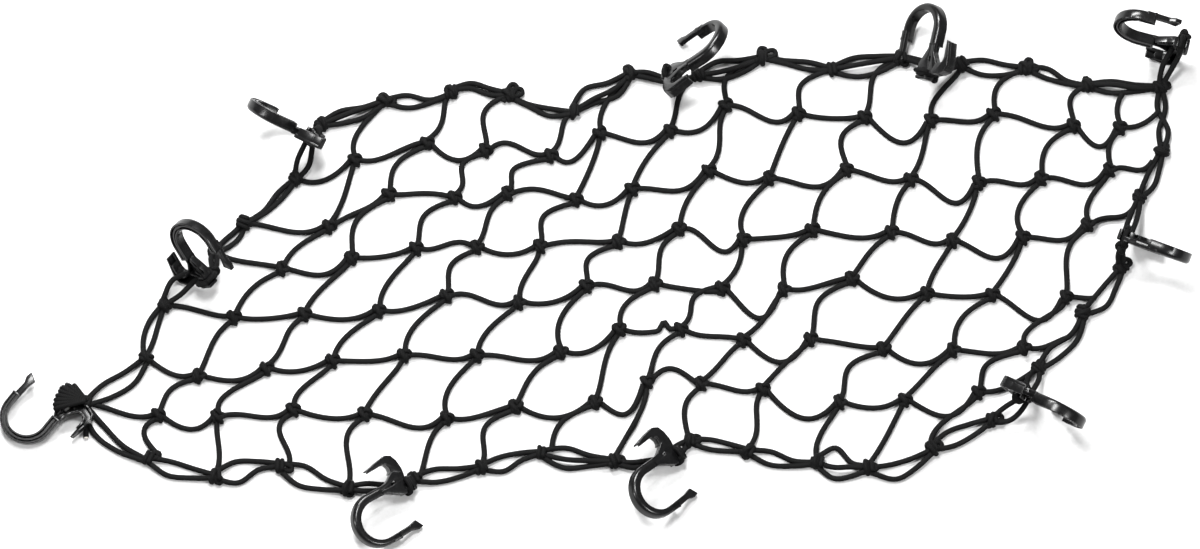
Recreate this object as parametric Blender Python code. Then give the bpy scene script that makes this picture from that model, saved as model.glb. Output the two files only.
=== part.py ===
"""A knotted elastic cord net with ten plastic hooks, lying flat on a surface.

Every length below is in millimetres and is turned into metres when a mesh is made.
World axes: +X along the net's long side, +Y from the near edge to the far edge, +Z up, surface at Z = 0.
"""

import math

import bmesh
import bpy
from mathutils import Matrix, Vector

MM = 0.001
CENTRE = Vector((-1.9, -6.0, 0.0))  # middle of the whole object in the tables below
CORD = 4.9  # across the cord
CORD_SIDES = 4
KNOT_HIGH = 9.8
KNOT_CORD = 4.2  # height of a cord's middle where it enters a knot
PORT_REACH = 5.8  # from a net knot's middle to where its cords come out
PORT_SPREAD = 29.0  # degrees from the middle line of the two low cords of a knot to each of them
TIE_REACH = {"across": 9.5, "thick": 10.5}  # from the middle of a hook's neck to the binding knot beside it
TIE_SIZE = 6.5
CLEARANCE = 0.45  # left between cords of different nodes
HOOK_CLEARANCE = 0.5  # left between a cord and a hook
FLAT_ENOUGH = 6.0  # degrees between two facets that become one

# Net knots lie on an even lattice, and each has slipped a little along its cord and up or down.
FIRST_KNOT = Vector((-224, 116))
ALONG = Vector((58, 2))  # from one column to the next
DOWN = Vector((-29, -50))  # from one row to the next
ROW_SLIPS = (
    {
        "along": (10, 15, 8, 7, -8, -5, -14, -9, -9, -9, -12, -1, -18),
        "up": (-11, 3, -6, -13, 6, 6, 28, 18, 13, 8, 12, -1, -5),
    },
    {
        "along": (17, 11, 10, -1, 0, -9, 0, -5, 4, 2, 3, 0, 2),
        "up": (-23, 5, 0, 2, -6, 2, 17, 8, 14, 3, -2, 0, 6),
    },
    {
        "along": (6, 8, 6, 1, -2, 8, 3, 1, 3, 14, 9, 12, 11),
        "up": (-12, -4, 3, 2, 1, 3, 13, 1, 8, 4, -6, -5, 5),
    },
    {
        "along": (-7, -4, 3, 4, 9, 9, 11, 11, 7, 8, 15, 14, 20),
        "up": (-7, -6, -5, 7, -1, 12, 12, 6, 3, 11, -5, -8, -12),
    },
    {
        "along": (-8, -7, -8, -4, 1, 16, 9, 4, 0, 1, 6, 9, 12),
        "up": (-11, -6, -1, 2, 0, 1, 20, 18, 6, 5, -6, -9, -9),
    },
    {
        "along": (-14, -20, -13, -9, 4, 6, 17, 4, -7, -12, -3, -5, 1),
        "up": (3, 0, 4, -2, -8, 1, 3, 20, 16, 9, -5, -5, 0),
    },
)
ROWS = len(ROW_SLIPS)
COLUMNS = 13

# Edge knots, (x, y), in order along each edge.
LEFT_KNOTS = ((-243, 138), (-265, 88), (-310, 46), (-335, 19), (-378, -30), (-394, -78), (-446, -120))
RIGHT_KNOTS = ((490, 173), (490, 113), (470, 70), (454, 6), (419, -37), (380, -88), (339, -136))
TOP_KNOTS = (
    (-188, 160),
    (-130, 168),
    (-80, 165),
    (-23, 150),
    (26, 185),
    (86, 184),
    (141, 200),
    (203, 189),
    (263, 200),
    (316, 194),
    (372, 190),
    (426, 174),
)
BOTTOM_KNOTS = (
    (-391, -171),
    (-333, -187),
    (-277, -178),
    (-218, -198),
    (-162, -190),
    (-103, -179),
    (-51, -166),
    (12, -173),
    (77, -155),
    (128, -164),
    (188, -174),
    (232, -179),
    (287, -162),
)
# Where the cord of each row meets the right edge, (x, y).
ROW_ENDS = ((490, 173), (490, 113), (470, 70), (425, -22), (398, -69), (380, -88))

# A strand of the net that bends more than its knots make it, (row, column at its left, rise in its middle).
ROW_BENDS = {(1, 12): -8, (4, 8): -14, (6, 8): 14, (6, 7): -8, (6, 10): -8, (6, 12): -8}

# One row per span of the edge cord: its two ends and, for each strand, how far it stands off the straight
# line to the left of travel, a third and two thirds of the way.
TOP_SPANS = (
    ("L0", "T1", (6, 2), (-6, -7)),
    ("T1", "T2", (3, -4), (-9, -7)),
    ("T2", "T3", (10, 6), (5, 0)),
    ("T3", "T4", (-3, -2), (-5, -9)),
    ("T4", "T5", (9, 3), (-4, -10)),
    ("T5", "hook_4", (4, 2), (-1, -2)),
    ("hook_4", "T6", (0, 0)),
    ("T6", "T7", (8, 4), (-9, -8)),
    ("T7", "T8", (2, 4), (-1, -3)),
    ("T8", "T9", (8, 6), (-10, -9)),
    ("T9", "hook_5", (6, 3), (-3, -2)),
    ("hook_5", "T10", (3, 3), (-2, -3)),
    ("T10", "T11", (6, 3), (-8, -7)),
    ("T11", "T12", (6, 0), (-3, -3)),
    ("T12", "R0", (5, 2), (-6, -4)),
    ("R0", "hook_6", (6, 5), (-2, -3)),
    ("L0", "hook_3", (0, 0)),
)
BOTTOM_SPANS = (
    ("hook_1", "L6", (0, 0)),
    ("L6", "B1", (-4, -6), (-15, -13)),
    ("B1", "B2", (3, 2), (-10, -7)),
    ("B2", "B3", (9, 6), (-10, -2)),
    ("B3", "B4", (5, 1), (-11, -8)),
    ("B4", "hook_10", (3, 1), (-4, -3)),
    ("hook_10", "B5", (4, 3), (-4, -3)),
    ("B5", "B6", (6, 3), (-6, -5)),
    ("B6", "B7", (5, 4), (-9, -5)),
    ("B7", "B8", (6, 2), (-12, -8)),
    ("B8", "hook_9", (-3, -2), (-8, -6)),
    ("hook_9", "B9", (4, 3), (-4, -3)),
    ("B9", "B10", (5, 4), (-4, -3)),
    ("B10", "B11", (3, -2), (-9, -7)),
    ("B11", "B12", (14, 9), (-13, -10)),
    ("B12", "B13", (-3, -3), (-17, -13)),
    ("B13", "R6", (8, 6), (-6, -5)),
)
LEFT_SPANS = (
    ("hook_3", "L1", (5, 7), (-3, -4)),
    ("L1", "L2", (5, 5), (-1, -1)),
    ("L2", "L3", (6, 5), (-1, -2)),
    ("L3", "hook_2", (2, 2), (-3, -2)),
    ("hook_2", "L4", (4, 4), (-6, -8)),
    ("L4", "L5", (0, 1), (-8, -8)),
    ("L5", "L6", (12, 10), (-1, -4)),
)
RIGHT_SPANS = (
    ("R0", "R1", (4, -2), (-3, 6)),
    ("R1", "R2", (5, 7), (-2, -2)),
    ("R2", "hook_7", (4, 4), (-2, -2)),
    ("hook_7", "R3", (2, 2), (-4, -4)),
    ("R3", "R4", (6, 6), (-1, -1)),
    ("R4", "R5", (5, 6), (-1, -1)),
    ("R5", "hook_8", (4, 3), (-5, -4)),
    ("hook_8", "R6", (8, 9), (-3, -3)),
)
THIRD_STRANDS = {
    ("L0", "T1"): (0, 0),
    ("T8", "T9"): (0, 0),
    ("B11", "B12"): (-1, 1),
}
LOOSE_END = (((-447, -127), 5.0), ((-444, -146), 3.4), ((-445, -158), 3.0))  # (x, y), height

# The hook lies in its own plane: "along" runs down the shank from the middle of its curve to its head, and
# "across" runs from the middle of its curve to the shank.
HOOK_THICK = 10.0
HOOK_INSIDE = 17.2  # radius inside the curve
HOOK_OUTSIDE = 25.2  # radius outside the curve, at the shank
ARM_OUTSIDE = 23.2  # the bar is thinner at its free arm
CURVE_FACETS = 9
FOOT = ((17, 17.2), (25, 12.5), (31, 9), (34.5, 9))  # (along, across), down the inner side
NECK_ALONG = (36.0, 41.5)
NECK_ACROSS = (11.5, 18.5)
HEAD = ((41.5, 8.0), (44.5, 8.5), (45.0, 11.0), (45.0, 19.0), (44.5, 21.5), (41.5, 22.0))
CLAW = (
    (37.5, 18.5),
    (39.5, 26.0),
    (40.0, 31.0),
    (39.0, 38.5),
    (36.5, 44.5),
    (31.5, 47.0),
    (23.5, 45.5),
    (10.5, 42.2),
    (10.2, 40.0),
    (18.5, 41.6),
    (25.4, 42.0),
    (29.2, 40.2),
    (30.8, 36.5),
    (30.0, 32.0),
    (25.0, 28.4),
    (20.0, 25.4),
)
ARM_TIP = ((22.0, -22.6), (26.0, -25.2), (29.5, -24.0), (26.0, -15.3), (21.0, -17.2))

# Where the moulding is thinner: a box of (along, across) and how much of the thickness stays, on side A.
THIN_ARM = {"along": (5.0, 40.0), "across": (-30.0, -10.0), "stays": 4.5}
THIN_SHANK = {"along": (14.0, 32.0), "across": (0.0, 26.7), "stays": 6.5}

# One row per hook: where the middle of its curve stands, which way its shank points (degrees from +X), how
# far it is rolled about the shank and how far its head is lifted.
HOOKS = {
    "hook_1": {"x": -496, "y": -134, "heading": 51, "roll": 182, "lift": 8},
    "hook_2": {"x": -350, "y": 9, "heading": 307.5, "roll": 245, "lift": -38},
    "hook_3": {"x": -285, "y": 135, "heading": 346, "roll": 118.5, "lift": -32},
    "hook_4": {"x": 91, "y": 204, "heading": 199, "roll": 39, "lift": -40},
    "hook_5": {"x": 283, "y": 219, "heading": 256.5, "roll": 47, "lift": -12},
    "hook_6": {"x": 472, "y": 212, "heading": 345.5, "roll": 262.5, "lift": -4},
    "hook_7": {"x": 489, "y": 5, "heading": 157, "roll": 251, "lift": -5},
    "hook_8": {"x": 398, "y": -139, "heading": 142, "roll": 74, "lift": -36},
    "hook_9": {"x": 48, "y": -206, "heading": 43, "roll": 19, "lift": -22},
    "hook_10": {"x": -191, "y": -231, "heading": 34, "roll": 18, "lift": -13},
}
BAND_ALONG = (36.5, 40.7)  # the cord wound round a hook's neck
BAND_DEPTH = 5.0
BAND_CORNER = 3.6


def new_collection(name, helper):
    made = bpy.data.collections.new(name)
    made.hide_render = helper
    bpy.context.scene.collection.children.link(made)
    return made


def new_object(name, verts, faces, collection):
    """An object of these points (mm) and faces, with its faces turned outwards."""
    mesh = bpy.data.meshes.new(name)
    mesh.from_pydata([(Vector(v) - CENTRE) * MM for v in verts], [], faces)
    work = bmesh.new()
    work.from_mesh(mesh)
    bmesh.ops.recalc_face_normals(work, faces=work.faces)
    bmesh.ops.triangulate(work, faces=work.faces)
    work.to_mesh(mesh)
    work.free()
    made = bpy.data.objects.new(name, mesh)
    collection.objects.link(made)
    if collection.hide_render:
        made.hide_render = True
        made.display_type = "WIRE"
    return made


def ring(centre, ahead, grow=0.0):
    """The corners of a cord's cross-section, with a flat side down."""
    side = ahead.cross(Vector((0, 0, 1))).normalized()
    up = side.cross(ahead).normalized()
    reach = (CORD / 2 + grow) / math.cos(math.pi / CORD_SIDES)
    corners = []
    for k in range(CORD_SIDES):
        turn = math.radians(-90) + math.pi * (2 * k + 1) / CORD_SIDES
        corners.append(centre + side * (reach * math.cos(turn)) + up * (reach * math.sin(turn)))
    return corners


def skin(rings):
    """Faces between rings, each a list of point numbers."""
    faces = []
    for near_ring, far_ring in zip(rings, rings[1:]):
        for k in range(CORD_SIDES):
            n = (k + 1) % CORD_SIDES
            faces.append((near_ring[k], near_ring[n], far_ring[n], far_ring[k]))
    return faces


def tube(path, grow=0.0):
    """Points and faces of a closed tube along a path."""
    verts = []
    rings = []
    last = len(path) - 1
    for i, centre in enumerate(path):
        ahead = (path[min(i + 1, last)] - path[max(i - 1, 0)]).normalized()
        rings.append(tuple(range(len(verts), len(verts) + CORD_SIDES)))
        verts += ring(centre, ahead, grow)
    return verts, [*skin(rings), rings[0], rings[-1]]


def ball(centre, reach):
    """Points and faces of a twenty-sided lump."""
    work = bmesh.new()
    bmesh.ops.create_icosphere(work, subdivisions=1, radius=reach)
    verts = [centre + v.co for v in work.verts]
    faces = [tuple(v.index for v in face.verts) for face in work.faces]
    work.free()
    return verts, faces


def lump(centre, turn, size, grow):
    """Points and faces of a knot: three lobes, flat underneath, three-cornered on top."""
    verts = []
    for height, lobe, waist in ((0.0, 5.2, 4.4), (4.6 * size, 7.4, 5.4)):
        for k in range(6):
            reach = (lobe if k % 2 == 0 else waist) * size + grow
            angle = math.radians(15 + 60 * k) + turn
            foot = height if height > 0 else -grow
            verts.append(Vector((centre.x + reach * math.cos(angle), centre.y + reach * math.sin(angle), foot)))
    for k in range(0, 6, 2):
        angle = math.radians(15 + 60 * k) + turn
        reach = 4.2 * size + grow
        top = KNOT_HIGH * size + grow
        verts.append(Vector((centre.x + reach * math.cos(angle), centre.y + reach * math.sin(angle), top)))
    faces = [tuple(range(6)), (12, 13, 14)]
    for k in range(6):
        n = (k + 1) % 6
        faces.append((k, n, 6 + n, 6 + k))
    for k in range(3):
        n = (k + 1) % 3
        faces.append((6 + 2 * k, 7 + 2 * k, 12 + k))
        faces.append((7 + 2 * k, 6 + 2 * n, 12 + n))
        faces.append((7 + 2 * k, 12 + n, 12 + k))
    return verts, faces


def net_knot(row, column):
    """Where the knot of this row and column lies, both counted from 1."""
    slips = ROW_SLIPS[row - 1]
    slip = Vector((slips["along"][column - 1], slips["up"][column - 1]))
    return FIRST_KNOT + ALONG * (column - 1) + DOWN * (row - 1) + slip


def top_end(column):
    return Vector(TOP_KNOTS[column - 1] if column < COLUMNS else RIGHT_KNOTS[0])


def row_neighbour(row, column):
    """The knot at the left of this one in its row, which may be an edge knot."""
    return net_knot(row, column - 1) if column > 1 else Vector(LEFT_KNOTS[row])


def below_neighbour(row, column):
    return net_knot(row + 1, column) if row < ROWS else Vector(BOTTOM_KNOTS[column - 1])


def mix(share, first, second):
    return (share * first.normalized() + (1 - share) * second.normalized()).normalized()


def bezier(a, leave, b, arrive, share):
    reach = (b - a).length * 0.36
    first = a + leave * reach
    second = b - arrive * reach
    rest = 1 - share
    return a * rest**3 + first * (3 * rest**2 * share) + second * (3 * rest * share**2) + b * share**3


def turned(direction, degrees):
    angle = math.radians(degrees)
    return Vector(
        (
            direction.x * math.cos(angle) - direction.y * math.sin(angle),
            direction.x * math.sin(angle) + direction.y * math.cos(angle),
        )
    )


def port_ways(row, column):
    """The ways out of a knot. The cord to the left and the cord down leave low, beside each other."""
    here = net_knot(row, column)
    above = net_knot(row - 1, column) if row > 1 else top_end(column)
    ahead = net_knot(row, column + 1) if column < COLUMNS else Vector(ROW_ENDS[row - 1])
    low = mix(0.5, row_neighbour(row, column) - here, below_neighbour(row, column) - here)
    return {
        "left": turned(low, -PORT_SPREAD),
        "down": turned(low, PORT_SPREAD),
        "right": mix(0.5, ahead - here, Vector((1, -0.15))),
        "up": mix(0.5, above - here, Vector((0.05, 1))),
    }


def hull_faces(points, rings):
    """Faces of the smallest convex skin round the points, leaving each ring of points open."""
    work = bmesh.new()
    made = [work.verts.new(p) for p in points]
    work.verts.index_update()
    bmesh.ops.convex_hull(work, input=made)
    faces = [tuple(v.index for v in face.verts) for face in work.faces]
    work.free()
    return [face for face in faces if not any(set(face) <= set(one) for one in rings)]


def net_piece():
    """Points and faces of the whole net: a raised lump at each knot and a tube for each strand."""
    verts = []
    faces = []
    ports = {}
    for row in range(1, ROWS + 1):
        for column in range(1, COLUMNS + 1):
            flat = net_knot(row, column)
            points = []
            rings = []
            for way, out in port_ways(row, column).items():
                centre = Vector((flat.x + out.x * PORT_REACH, flat.y + out.y * PORT_REACH, KNOT_CORD))
                ahead = out if way in ("right", "down") else -out
                rings.append(tuple(range(len(points), len(points) + CORD_SIDES)))
                points += ring(centre, ahead.to_3d())
                first = len(verts) + rings[-1][0]
                ports[row, column, way] = (tuple(range(first, first + CORD_SIDES)), centre, out)
            turn = turn_of(row, column)
            for height, reach in ((0.0, 4.9), (KNOT_HIGH, 4.4)):
                for k in range(3):
                    angle = math.radians(15 + 120 * k) + turn
                    spot = Vector((reach * math.cos(angle), reach * math.sin(angle)))
                    points.append((flat + spot).to_3d() + Vector((0, 0, height)))
            start = len(verts)
            faces += [tuple(start + i for i in face) for face in hull_faces(points, rings)]
            verts += points
    for row in range(1, ROWS + 1):
        for column in range(COLUMNS + 1):
            begin = ports.get((row, column, "right")) or Vector(LEFT_KNOTS[row])
            end = ports.get((row, column + 1, "left")) or Vector(ROW_ENDS[row - 1])
            add_strand(verts, faces, begin, end, 2.6, ROW_BENDS.get((row, column), 0))
    for column in range(1, COLUMNS + 1):
        for row in range(ROWS + 1):
            begin = ports.get((row, column, "down")) or top_end(column)
            end = ports.get((row + 1, column, "up")) or Vector(BOTTOM_KNOTS[column - 1])
            add_strand(verts, faces, begin, end, 2.8, 0)
    return verts, faces


def add_strand(verts, faces, begin, end, middle, rise):
    """Adds the tube from one port to another, or to an edge knot. Its middle lies low."""
    loose = isinstance(begin, Vector), isinstance(end, Vector)
    a = begin if loose[0] else begin[1].to_2d()
    b = end if loose[1] else end[1].to_2d()
    leave = mix(0.4, b - a, Vector((-0.4, -0.6)) if abs((b - a).y) > abs((b - a).x) else Vector((1, 0)))
    arrive = mix(0.7, b - a, Vector((0.4, 1)) if abs((b - a).x) > abs((b - a).y) else Vector((0.2, -1)))
    leave = leave if loose[0] else begin[2]
    arrive = arrive if loose[1] else -end[2]
    rings = [] if loose[0] else [begin[0]]
    spots = [a] if loose[0] else []
    spots += [bezier(a, leave, b, arrive, share) for share in (0.3, 0.7)]
    spots += [b] if loose[1] else []
    for spot in spots:
        ahead = leave if spot is a else arrive if spot is b else (b - a).normalized()
        lift = 0.0 if spot is a or spot is b else rise
        height = KNOT_CORD if spot is a or spot is b else middle
        share = (0.5 * leave + ahead + 0.5 * arrive).normalized()
        rings.append(tuple(range(len(verts), len(verts) + CORD_SIDES)))
        verts += ring(Vector((spot.x, spot.y + lift, height)), share.to_3d())
    if loose[0]:
        faces.append(rings[0])
    if loose[1]:
        faces.append(rings[-1])
    else:
        rings.append(end[0])
    faces += skin(rings)


def turn_of(row, column):
    """Each knot is turned with its row."""
    here = net_knot(row, column)
    back = here - row_neighbour(row, column)
    return math.atan2(back.y, back.x) * 0.8


def offset_outline(points, grow):
    """The closed outline moved outwards by grow, corner by corner."""
    if not grow:
        return [Vector(p) for p in points]
    moved = []
    count = len(points)
    for i in range(count):
        before = (Vector(points[i]) - Vector(points[i - 1])).normalized()
        after = (Vector(points[(i + 1) % count]) - Vector(points[i])).normalized()
        normal = Vector((before.y + after.y, -before.x - after.x)).normalized()
        spread = max(normal.dot(Vector((before.y, -before.x))), 0.5)
        moved.append(Vector(points[i]) + normal * (grow / spread))
    return moved


def hook_outline():
    """The hook's outline in (along, across): inside the curve, foot, neck, head, claw and outside the curve."""
    inside = []
    outside = []
    for i in range(CURVE_FACETS + 1):
        angle = math.radians(270) - i * math.pi / CURVE_FACETS
        outer = ARM_OUTSIDE + (HOOK_OUTSIDE - ARM_OUTSIDE) * i / CURVE_FACETS
        inside.append((HOOK_INSIDE * math.cos(angle), HOOK_INSIDE * math.sin(angle)))
        outside.append((outer * math.cos(angle), outer * math.sin(angle)))
    neck_in = [(along, NECK_ACROSS[0]) for along in NECK_ALONG]
    neck_out = [(NECK_ALONG[1], NECK_ACROSS[1])]
    round_it = [*inside, *FOOT, *neck_in, *HEAD, *neck_out, *CLAW, *outside[::-1], *ARM_TIP]
    return [Vector(p) for p in round_it]


def hook_thickness(spot):
    """The two faces of the hook at this place of its outline."""
    half = HOOK_THICK / 2
    for zone in (THIN_ARM, THIN_SHANK):
        inside = zone["along"][0] < spot.x < zone["along"][1]
        if inside and zone["across"][0] < spot.y < zone["across"][1]:
            return (half - zone["stays"], half)
    return (-half, half)


def hook_matrix(name):
    """Turns hook measures into world millimetres, with the hook's lowest point on the surface."""
    row = HOOKS[name]
    turn = Matrix.Rotation(math.radians(row["heading"]), 4, "Z")
    turn @= Matrix.Rotation(math.radians(-row["lift"]), 4, "Y")
    turn @= Matrix.Rotation(math.radians(row["roll"]), 4, "X")
    low = min((turn @ Vector((p.x, p.y, side))).z for p in hook_outline() for side in hook_thickness(p))
    return Matrix.Translation((row["x"], row["y"], -low)) @ turn


def hook_piece(name, grow):
    place = hook_matrix(name)
    outline = offset_outline(hook_outline(), grow)
    half = HOOK_THICK / 2 + grow
    count = len(outline)
    verts = [place @ Vector((p.x, p.y, -half)) for p in outline]
    verts += [place @ Vector((p.x, p.y, half)) for p in outline]
    faces = [tuple(range(count)), tuple(range(count, 2 * count))]
    for i in range(count):
        n = (i + 1) % count
        faces.append((i, n, count + n, count + i))
    return verts, faces


def thin_piece(name, zone):
    """The block that a thin zone takes off the hook's side B."""
    place = hook_matrix(name)
    half = HOOK_THICK / 2
    verts = []
    for thick in (-half - 1, half - zone["stays"]):
        for along, across in ((0, 0), (1, 0), (1, 1), (0, 1)):
            verts.append(place @ Vector((zone["along"][along], zone["across"][across], thick)))
    faces = [(0, 1, 2, 3), (4, 5, 6, 7)]
    for k in range(4):
        n = (k + 1) % 4
        faces.append((k, n, 4 + n, 4 + k))
    return verts, faces


def band_piece(name, grow):
    """The cord wound round the hook's neck, as one block of eight sides that the hook's own space opens."""
    place = hook_matrix(name)
    middle = (NECK_ACROSS[0] + NECK_ACROSS[1]) / 2
    a = (NECK_ACROSS[1] - NECK_ACROSS[0]) / 2 + BAND_DEPTH + grow
    b = HOOK_THICK / 2 + BAND_DEPTH + grow
    c = BAND_CORNER
    ring = ((a, b - c), (a - c, b), (c - a, b), (-a, b - c), (-a, c - b), (c - a, -b), (a - c, -b), (a, c - b))
    verts = []
    for along in (BAND_ALONG[0] - grow, BAND_ALONG[1] + grow):
        verts += [place @ Vector((along, middle + across, thick)) for across, thick in ring]
    faces = [tuple(range(8)), tuple(range(8, 16))]
    for k in range(8):
        n = (k + 1) % 8
        faces.append((k, n, 8 + n, 8 + k))
    return verts, faces


def tie_place(name):
    """The binding knot beside a hook's neck, on the side nearest the surface."""
    place = hook_matrix(name)
    along = (BAND_ALONG[0] + BAND_ALONG[1]) / 2
    middle = (NECK_ACROSS[0] + NECK_ACROSS[1]) / 2
    sides = ((-TIE_REACH["across"], 0), (0, TIE_REACH["thick"]), (0, -TIE_REACH["thick"]))
    spots = [place @ Vector((along, middle + across, thick)) for across, thick in sides]
    return min(spots, key=lambda spot: spot.z)


def stop_place(name):
    """Where the edge cord passes, in world millimetres: an edge knot, or the binding knot of a hook."""
    if name.startswith("hook_"):
        spot = tie_place(name)
        spot.z = max(spot.z, TIE_SIZE)
        return spot
    tables = {"L": LEFT_KNOTS, "R": RIGHT_KNOTS, "T": TOP_KNOTS, "B": BOTTOM_KNOTS}
    number = int(name[1:])
    flat = tables[name[0]][number if name[0] in "LR" else number - 1]
    return Vector((flat[0], flat[1], 4.6))


def span_pieces(spans, grow):
    """A tube for every strand of every span."""
    pieces = []
    for start, end, *offsets in spans:
        a = stop_place(start)
        b = stop_place(end)
        third = THIRD_STRANDS.get((start, end))
        if third:
            offsets = [*offsets, third]
        chord = (b - a).to_2d()
        left = Vector((-chord.y, chord.x)).normalized()
        for number, (first, second) in enumerate(offsets):
            lift = (0.0, 0.45, 0.2)[number]
            low = 2.9 + lift
            root = a + (left * (0.3 * first)).to_3d() + Vector((0, 0, lift))
            tail = b + (left * (0.3 * second)).to_3d() + Vector((0, 0, lift))
            path = [root]
            for share, off in ((1 / 3, first), (2 / 3, second)):
                spot = a.lerp(b, share)
                across = left * off
                height = max(low, spot.z + lift) if "hook" in start + end else low
                path.append(Vector((spot.x + across.x, spot.y + across.y, height)))
            path.append(tail)
            pieces.append(tube(path, grow))
    return pieces


def edge_pieces(spans, knots, hooks, grow):
    """Every strand, knot and band of one edge."""
    pieces = span_pieces(spans, grow)
    for name in knots:
        place = stop_place(name)
        pieces.append(lump(place, 0.3 * len(name) + 0.1 * place.x / 60, 1.12, grow))
    for name in hooks:
        pieces.append(band_piece(name, grow))
        pieces.append(ball(stop_place(name), TIE_SIZE + grow))
    return pieces


def evaluated(made, name):
    """A plain mesh object of this object after its modifiers, holding only its largest piece."""
    bpy.context.view_layer.update()
    graph = bpy.context.evaluated_depsgraph_get()
    mesh = bpy.data.meshes.new_from_object(made.evaluated_get(graph))
    work = bmesh.new()
    work.from_mesh(mesh)
    bmesh.ops.remove_doubles(work, verts=work.verts, dist=1e-8)
    islands = []
    seen = set()
    for vert in work.verts:
        if vert in seen:
            continue
        island = []
        waiting = [vert]
        seen.add(vert)
        while waiting:
            one = waiting.pop()
            island.append(one)
            for edge in one.link_edges:
                other = edge.other_vert(one)
                if other not in seen:
                    seen.add(other)
                    waiting.append(other)
        islands.append(island)
    islands.sort(key=len)
    for island in islands[:-1]:
        bmesh.ops.delete(work, geom=island, context="VERTS")
    flat = math.radians(FLAT_ENOUGH)
    bmesh.ops.dissolve_limit(work, angle_limit=flat, verts=work.verts, edges=work.edges)
    bmesh.ops.triangulate(work, faces=work.faces)
    work.to_mesh(mesh)
    work.free()
    mesh.name = name
    return mesh


def floor_piece():
    """Everything under the surface, for cutting flat what would go below it."""
    faces = [(0, 1, 2, 3), (4, 5, 6, 7), (0, 1, 5, 4), (1, 2, 6, 5), (2, 3, 7, 6), (3, 0, 4, 7)]
    corners = ((-700, -400), (700, -400), (700, 400), (-700, 400))
    return [Vector((x, y, z)) for z in (-30, 0) for x, y in corners], faces


def near(pieces, others):
    """Those of the other pieces whose boxes come near the box of one of these."""
    boxes = []
    for group in (pieces, others):
        found = []
        for verts, _ in group:
            low = [min(v[axis] for v in verts) for axis in range(3)]
            high = [max(v[axis] for v in verts) for axis in range(3)]
            found.append((low, high))
        boxes.append(found)
    kept = []
    for other, (low, high) in zip(others, boxes[1]):
        if any(
            all(low[axis] < top[axis] + 1 and high[axis] > base[axis] - 1 for axis in range(3))
            for base, top in boxes[0]
        ):
            kept.append(other)
    return kept


def solid_of(name, pieces, cutters, material):
    """A node: the pieces joined, less the cutters that come near them."""
    joined = new_collection(name + "_pieces", True)
    for number, (verts, faces) in enumerate(pieces):
        new_object(f"{name}_piece_{number}", verts, faces, joined)
    base = joined.objects[0]
    joined.objects.unlink(base)
    helpers.objects.link(base)
    space = new_collection(name + "_space", True)
    for number, (verts, faces) in enumerate(near(pieces, cutters)):
        new_object(f"{name}_cutter_{number}", verts, faces, space)
    if len(pieces) > 1:
        join = base.modifiers.new("join", "BOOLEAN")
        join.operation = "UNION"
        join.solver = "EXACT"
        join.operand_type = "COLLECTION"
        join.collection = joined
    cut = base.modifiers.new("cut", "BOOLEAN")
    cut.operation = "DIFFERENCE"
    cut.solver = "EXACT"
    cut.operand_type = "COLLECTION"
    cut.collection = space
    mesh = evaluated(base, name)
    base.modifiers.clear()
    made = bpy.data.objects.new(name, mesh)
    mesh.materials.clear()
    mesh.materials.append(material)
    nodes.objects.link(made)
    return made


def new_material(name, colour, roughness):
    made = bpy.data.materials.new(name)
    made.use_nodes = True
    shader = made.node_tree.nodes["Principled BSDF"]
    shader.inputs["Base Color"].default_value = (*colour, 1.0)
    shader.inputs["Roughness"].default_value = roughness
    return made


for old in list(bpy.data.objects):
    bpy.data.objects.remove(old)

nodes = new_collection("cargo_net", False)
helpers = new_collection("helpers", True)

# Each edge: its spans, its knots and the hooks that it is bound to.
EDGES = {
    "border_top": (
        TOP_SPANS,
        ["L0"] + [f"T{n}" for n in range(1, 13)] + ["R0"],
        ("hook_3", "hook_4", "hook_5", "hook_6"),
    ),
    "border_bottom": (
        BOTTOM_SPANS,
        ["L6"] + [f"B{n}" for n in range(1, 14)] + ["R6"],
        ("hook_1", "hook_9", "hook_10"),
    ),
    "border_left": (LEFT_SPANS, [f"L{n}" for n in range(1, 6)], ("hook_2",)),
    "border_right": (RIGHT_SPANS, [f"R{n}" for n in range(1, 6)], ("hook_7", "hook_8")),
}

hook_space = [hook_piece(name, HOOK_CLEARANCE) for name in HOOKS]
edge_space = {name: edge_pieces(*parts, CLEARANCE) for name, parts in EDGES.items()}

for name, parts in EDGES.items():
    pieces = edge_pieces(*parts, 0.0)
    cutters = [floor_piece(), *hook_space]
    if name == "border_bottom":
        loose = [Vector((place[0], place[1], height)) for place, height in LOOSE_END]
        pieces.append(tube(loose))
    if name in ("border_left", "border_right"):
        cutters += edge_space["border_top"] + edge_space["border_bottom"]
    solid_of(name, pieces, cutters, new_material(name, (0.012, 0.012, 0.013), 0.7))

edge_cutters = [piece for pieces in edge_space.values() for piece in pieces]
cord_look = new_material("net_mesh", (0.012, 0.012, 0.013), 0.7)
solid_of("net_mesh", [net_piece()], hook_space + edge_cutters, cord_look)

for name in HOOKS:
    thinned = [thin_piece(name, THIN_ARM), thin_piece(name, THIN_SHANK)]
    solid_of(name, [hook_piece(name, 0.0)], thinned, new_material(name, (0.01, 0.01, 0.011), 0.35))
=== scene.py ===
"""The looks of a knotted elastic cord net with ten plastic hooks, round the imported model.

Lengths below are in millimetres, as in the model's source, and turn into metres when a mesh is made.
"""

import random
from math import atan2, copysign, cos, exp, pi, radians, sin

import bmesh
import bpy
import numpy as np
from mathutils import Matrix, Vector


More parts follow.
